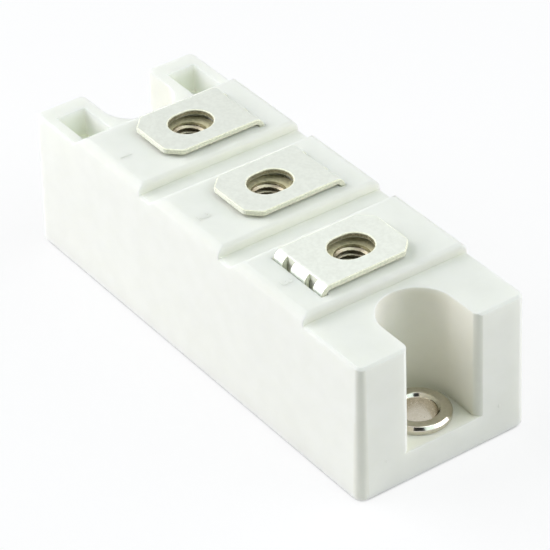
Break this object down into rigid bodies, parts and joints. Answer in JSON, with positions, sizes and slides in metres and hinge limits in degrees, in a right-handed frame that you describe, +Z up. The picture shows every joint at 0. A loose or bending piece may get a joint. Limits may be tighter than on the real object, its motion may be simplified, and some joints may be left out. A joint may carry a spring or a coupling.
{
  "type": "power diode module",
  "caption": "Power diode module: moulded block with a slot for a mounting screw at each end and a row of screw terminals with folded tabs on its stepped top.",
  "frame": {"origin": "centre of the mounting face, on the underside of the baseplate", "axes": "+X along the module towards its plain end, +Y across it, +Z up out of the terminals"},
  "size_m": [0.094, 0.034, 0.0298],
  "materials": {
    "housing_plastic": "fine moulded satin white",
    "plated_copper": "nickel plated copper",
    "plated_steel": "bright nickel plating",
    "tinned_copper": "satin tin plating",
    "bare_copper": "bare copper",
    "substrate_ceramic": "unglazed alumina",
    "silicon": "passivated silicon",
    "buffer_metal": "molybdenum",
    "silicone_gel": "clear soft gel"
  },
  "bodies": {
    "root": {"housing": "housing_plastic", "baseplate": "plated_copper", "mounting_bush_near": "plated_steel", "mounting_bush_far": "plated_steel", "ceramic_substrate": "substrate_ceramic", "gel_filling": "silicone_gel", "terminal_1": "tinned_copper", "terminal_nut_1": "plated_steel", "terminal_2": "tinned_copper", "terminal_nut_2": "plated_steel", "terminal_3": "tinned_copper", "terminal_nut_3": "plated_steel", "back_copper": "bare_copper", "copper_track_1": "bare_copper", "copper_track_2": "bare_copper", "copper_track_3": "bare_copper", "die_connector_1": "bare_copper", "die_connector_2": "bare_copper", "diode_die_1": "silicon", "die_buffer_1": "buffer_metal", "diode_die_2": "silicon", "die_buffer_2": "buffer_metal"}
  },
  "joints": []
}
